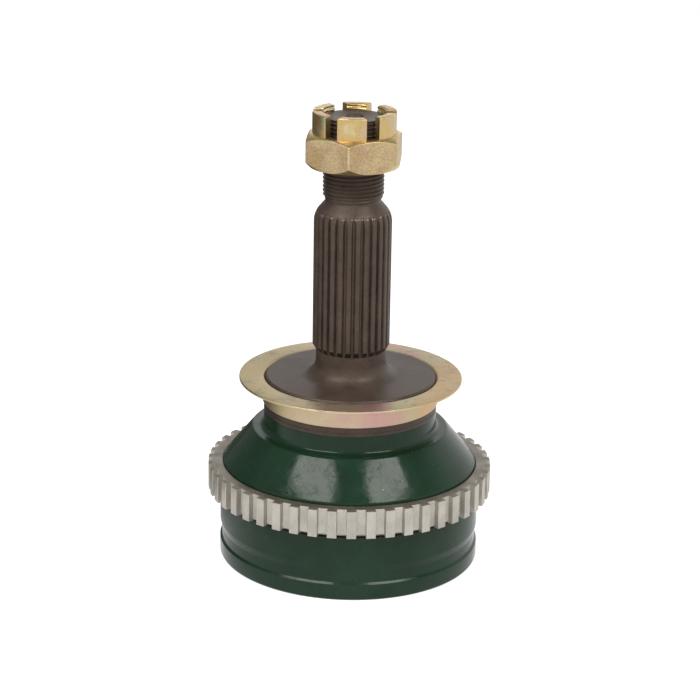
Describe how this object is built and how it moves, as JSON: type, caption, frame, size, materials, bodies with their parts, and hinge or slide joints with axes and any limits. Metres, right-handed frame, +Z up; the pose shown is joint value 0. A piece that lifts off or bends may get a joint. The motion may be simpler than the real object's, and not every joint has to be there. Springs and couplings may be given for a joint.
{
  "type": "cv joint",
  "caption": "Fixed ball constant velocity joint: bell with splined stub axle, caged balls and inner race, toothed sensor ring, dust shield and castle nut.",
  "frame": {"origin": "centre of the bell's rim, the face that it stands on", "axes": "+Z up the stub axle towards the castle nut; +X the axis that the joint tilts about; -Y the side that faces the camera"},
  "size_m": [0.1042, 0.1042, 0.1673],
  "materials": {
    "forging": "dark phosphate with green gloss paint on the bell",
    "sintered_ring": "sintered steel, satin",
    "zinc_shield": "yellow passivated zinc",
    "zinc_nut": "yellow passivated zinc",
    "cage_steel": "ground hardened steel, dark",
    "race_steel": "ground hardened steel",
    "ball_steel": "polished bearing steel"
  },
  "bodies": {
    "axle_shell": {"outer_race": "forging", "tone_ring": "sintered_ring", "dust_shield": "zinc_shield"},
    "inner_hub": {"inner_race": "race_steel"},
    "ball_cage": {"cage": "cage_steel"},
    "hub_nut": {"castle_nut": "zinc_nut"},
    "ball_1": {"ball_1": "ball_steel"},
    "ball_2": {"ball_2": "ball_steel"},
    "ball_3": {"ball_3": "ball_steel"},
    "ball_4": {"ball_4": "ball_steel"},
    "ball_5": {"ball_5": "ball_steel"},
    "ball_6": {"ball_6": "ball_steel"}
  },
  "joints": [
    {"name": "articulation", "type": "hinge", "parent": "axle_shell", "child": "inner_hub", "pos_m": [0, 0, 0.0215], "axis": [1, 0, 0], "range_deg": [-40, 40]},
    {"name": "cage_tilt", "type": "hinge", "parent": "axle_shell", "child": "ball_cage", "pos_m": [0, 0, 0.0215], "axis": [1, 0, 0], "range_deg": [-20, 20]},
    {"name": "ball_1_path", "type": "hinge", "parent": "axle_shell", "child": "ball_1", "pos_m": [0, 0, 0.0183], "axis": [0.5, -0.866, 0], "range_deg": [-10, 10]},
    {"name": "ball_2_path", "type": "hinge", "parent": "axle_shell", "child": "ball_2", "pos_m": [0, 0, 0.0183], "axis": [1, 0, 0], "range_deg": [-20, 20]},
    {"name": "ball_3_path", "type": "hinge", "parent": "axle_shell", "child": "ball_3", "pos_m": [0, 0, 0.0183], "axis": [0.5, 0.866, 0], "range_deg": [-10, 10]},
    {"name": "ball_4_path", "type": "hinge", "parent": "axle_shell", "child": "ball_4", "pos_m": [0, 0, 0.0183], "axis": [-0.5, 0.866, 0], "range_deg": [-10, 10]},
    {"name": "ball_5_path", "type": "hinge", "parent": "axle_shell", "child": "ball_5", "pos_m": [0, 0, 0.0183], "axis": [-1, 0, 0], "range_deg": [-20, 20]},
    {"name": "ball_6_path", "type": "hinge", "parent": "axle_shell", "child": "ball_6", "pos_m": [0, 0, 0.0183], "axis": [-0.5, -0.866, 0], "range_deg": [-10, 10]},
    {"name": "nut_travel", "type": "slide", "parent": "axle_shell", "child": "hub_nut", "axis": [0, 0, 1], "range_m": [-0.0095, 0.04]}
  ],
  "couplings": [
    {"joint": "cage_tilt", "follows": "articulation", "ratio": 0.5},
    {"joint": "ball_1_path", "follows": "articulation", "ratio": 0.25},
    {"joint": "ball_2_path", "follows": "articulation", "ratio": 0.5},
    {"joint": "ball_3_path", "follows": "articulation", "ratio": 0.25},
    {"joint": "ball_4_path", "follows": "articulation", "ratio": -0.25},
    {"joint": "ball_5_path", "follows": "articulation", "ratio": -0.5},
    {"joint": "ball_6_path", "follows": "articulation", "ratio": -0.25}
  ]
}
